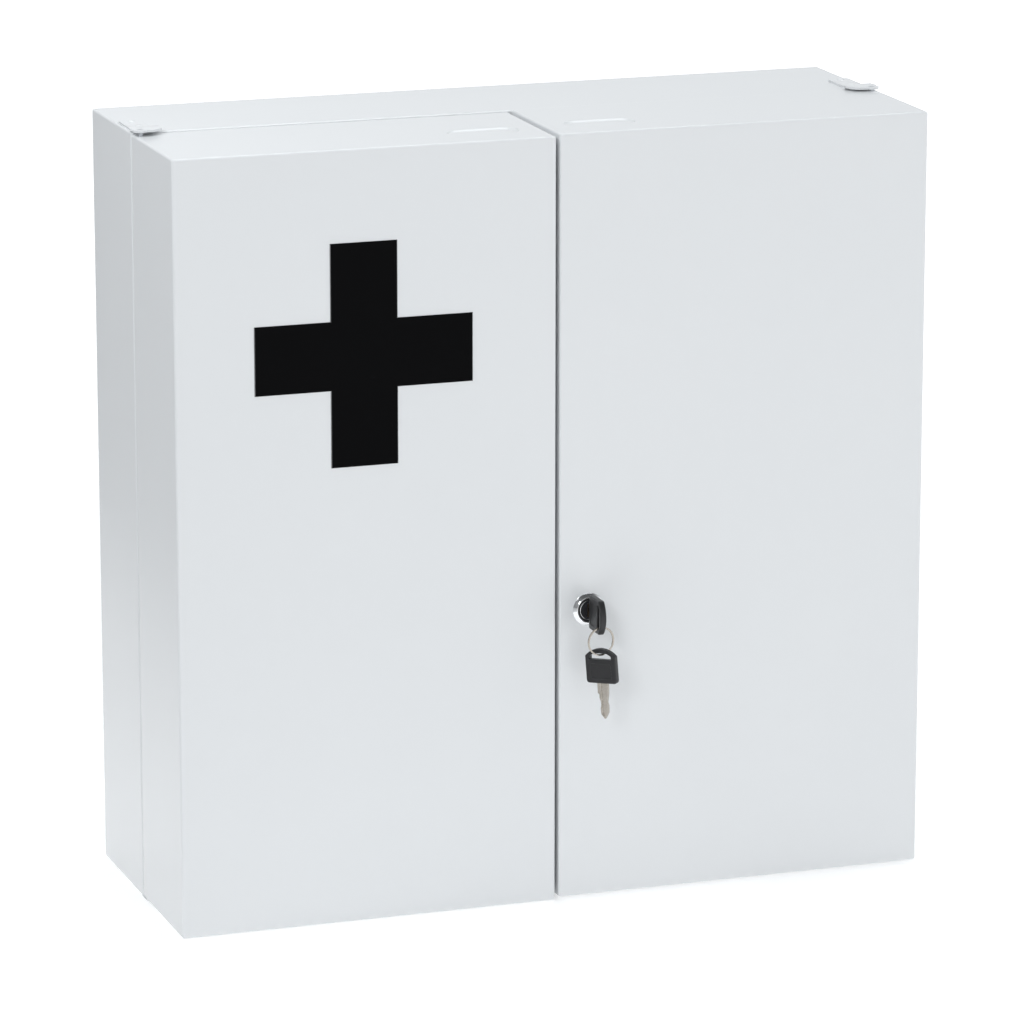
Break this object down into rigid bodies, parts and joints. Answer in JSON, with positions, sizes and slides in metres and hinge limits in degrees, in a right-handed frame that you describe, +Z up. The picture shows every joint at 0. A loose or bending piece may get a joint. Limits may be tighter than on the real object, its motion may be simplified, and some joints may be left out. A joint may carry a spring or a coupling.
{
  "type": "wall medicine cabinet",
  "caption": "Lockable sheet-steel medicine cabinet with two deep shelved doors, a cross, a cam lock with its key in place and a second key hanging on a ring.",
  "frame": {"origin": "centre of the cabinet body's base, midway between its front and back edges, without the doors", "axes": "+X to the viewer's right along the front, +Y from the doors to the wall, +Z up"},
  "size_m": [0.533, 0.2361, 0.5335],
  "materials": {
    "white_paint": "fine semi-gloss powder coat on sheet steel",
    "zinc_steel": "zinc plated",
    "white_plastic": "moulded",
    "buffer_rubber": "matt",
    "black_vinyl": "smooth satin film",
    "chrome_trim": "polished",
    "black_metal": "black lacquer on zinc alloy",
    "black_plastic": "moulded, softly glossy",
    "nickel": "nickel plated brass, worn"
  },
  "bodies": {
    "cabinet_body": {"body_end_walls": "white_paint", "body_side_walls": "white_paint", "body_front_flange": "white_paint", "body_rear_flange": "white_paint", "back_panel": "white_paint", "upper_shelf": "white_paint", "lower_shelf": "white_paint", "upper_shelf_lips": "white_paint", "lower_shelf_lips": "white_paint", "upper_shelf_brackets": "zinc_steel", "lower_shelf_brackets": "zinc_steel", "left_hinge_tab": "white_paint", "right_hinge_tab": "white_paint", "left_tab_rivets": "white_paint", "right_tab_rivets": "white_paint", "left_upper_pin": "zinc_steel", "right_upper_pin": "zinc_steel", "left_lower_pin": "zinc_steel", "right_lower_pin": "zinc_steel", "left_hinge_washer": "white_plastic", "right_hinge_washer": "white_plastic", "door_buffers": "buffer_rubber", "left_magnet_catch": "white_plastic", "right_magnet_catch": "white_plastic", "bolt_strike": "zinc_steel"},
    "left_door": {"left_door_face": "white_paint", "left_door_end_walls": "white_paint", "left_door_side_walls": "white_paint", "left_door_slot_ends": "white_paint", "left_door_flange": "white_paint", "left_pivot_plate": "zinc_steel", "left_door_shelf_1": "white_paint", "left_door_shelf_2": "white_paint", "left_door_shelf_3": "white_paint", "left_catch_strike": "zinc_steel", "cross_sign": "black_vinyl", "bolt_guide": "zinc_steel"},
    "left_bolt": {"door_bolt": "zinc_steel"},
    "right_door": {"right_door_face": "white_paint", "right_door_end_walls": "white_paint", "right_door_side_walls": "white_paint", "right_door_slot_ends": "white_paint", "right_door_flange": "white_paint", "right_pivot_plate": "zinc_steel", "right_door_shelf_1": "white_paint", "right_door_shelf_2": "white_paint", "right_door_shelf_3": "white_paint", "right_catch_strike": "zinc_steel", "lock_rosette": "chrome_trim", "lock_housing": "black_metal", "lock_nut": "zinc_steel"},
    "plug": {"lock_plug": "black_metal", "lock_cam": "zinc_steel", "cam_screw": "zinc_steel"},
    "key": {"key_blade": "nickel", "key_head": "black_plastic"},
    "ring": {"key_ring": "nickel"},
    "spare_key": {"spare_key_blade": "nickel", "spare_key_head": "black_plastic"}
  },
  "joints": [
    {"name": "left_door_hinge", "type": "hinge", "parent": "cabinet_body", "child": "left_door", "pos_m": [-0.261, -0.0592, 0.265], "axis": [0, 0, -1], "range_deg": [0, 120]},
    {"name": "right_door_hinge", "type": "hinge", "parent": "cabinet_body", "child": "right_door", "pos_m": [0.261, -0.0592, 0.265], "axis": [0, 0, 1], "range_deg": [0, 120]},
    {"name": "bolt_slide", "type": "slide", "parent": "left_door", "child": "left_bolt", "axis": [0, 0, -1], "range_m": [0, 0.014]},
    {"name": "lock_turn", "type": "hinge", "parent": "right_door", "child": "plug", "pos_m": [0.0224, -0.14, 0.204], "axis": [0, 1, 0], "range_deg": [0, 90]},
    {"name": "key_slide", "type": "slide", "parent": "plug", "child": "key", "axis": [0, -1, 0], "range_m": [0, 0.025]},
    {"name": "ring_hang", "type": "hinge", "parent": "key", "child": "ring", "pos_m": [0.0224, -0.17453, 0.1938], "axis": [0, 1, 0], "range_deg": [-90, 0]},
    {"name": "spare_key_swing", "type": "hinge", "parent": "ring", "child": "spare_key", "pos_m": [0.0224, -0.17453, 0.17836], "axis": [0.9877, 0.1564, 0], "range_deg": [-14, 8]}
  ],
  "couplings": [
    {"joint": "ring_hang", "follows": "lock_turn", "ratio": -1}
  ]
}
